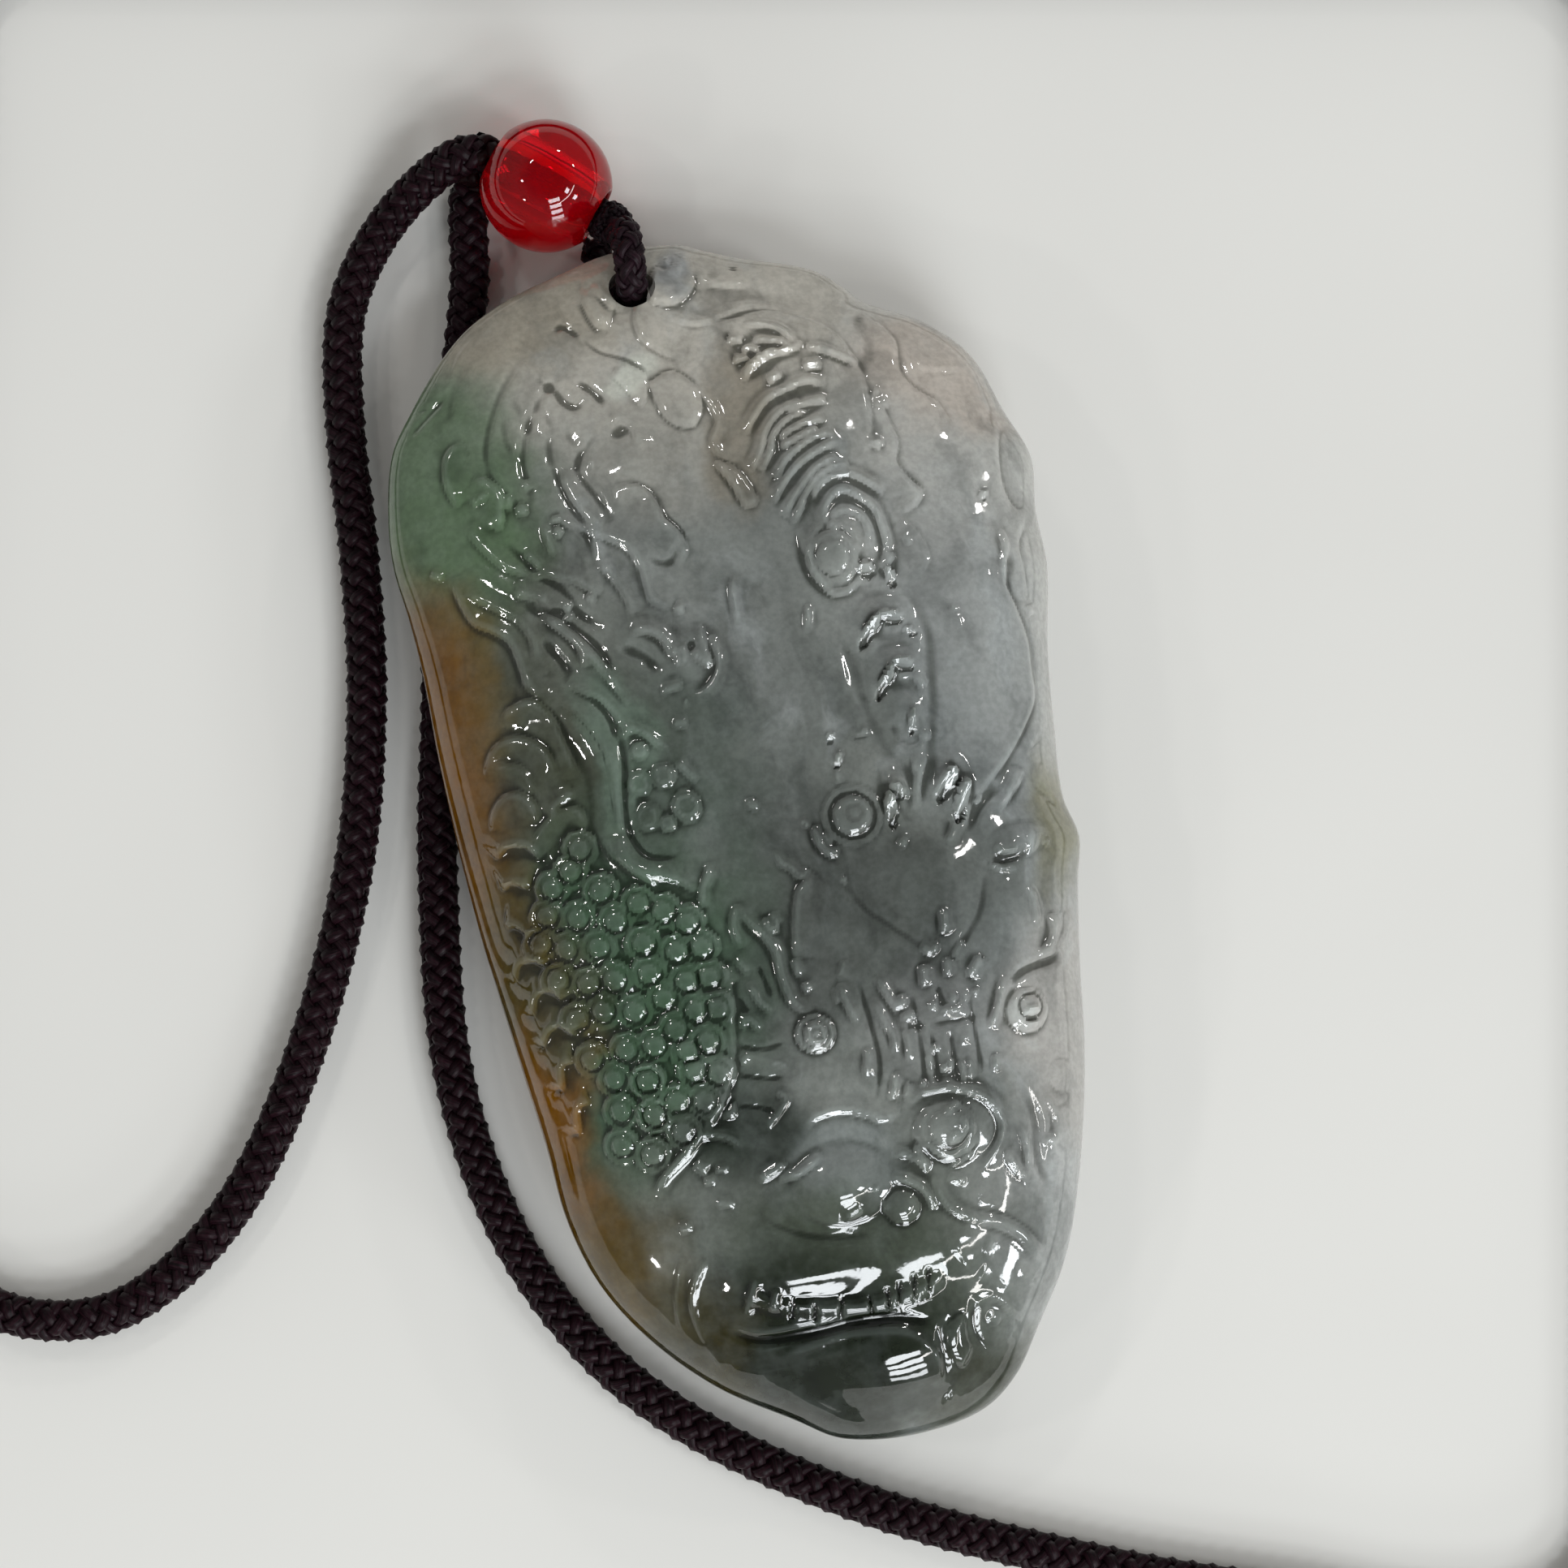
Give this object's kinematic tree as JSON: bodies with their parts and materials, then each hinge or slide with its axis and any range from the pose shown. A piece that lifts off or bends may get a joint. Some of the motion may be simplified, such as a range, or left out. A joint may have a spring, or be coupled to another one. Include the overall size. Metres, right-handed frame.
{
  "type": "carved jade pendant on a neck cord",
  "caption": "Carved jade dragon pendant with a drilled hole, hung by a wrapped loop under a red bead on a braided neck cord.",
  "frame": {"origin": "on the flat of the stone's back, under the middle of the stone", "axes": "+Z out of the carved face, +Y along the stone to the hanging hole, +X to the right of the carved face; the stone lies on its back with Z = 0 as the surface under it"},
  "size_m": [0.107, 0.1074, 0.0123],
  "materials": {
    "jade": "polished, slightly translucent",
    "hanger_cord": "braided",
    "knot_thread": "wrapped thread",
    "red_glass": "polished, transparent deep red",
    "pressed_cord": "braided, pressed together",
    "neck_cord": "braided"
  },
  "bodies": {
    "root": {"jade_body": "jade", "hanger_loop": "hanger_cord", "wrap_knot": "knot_thread", "red_bead": "red_glass", "bead_core": "pressed_cord", "neck_cord": "neck_cord"}
  },
  "joints": []
}
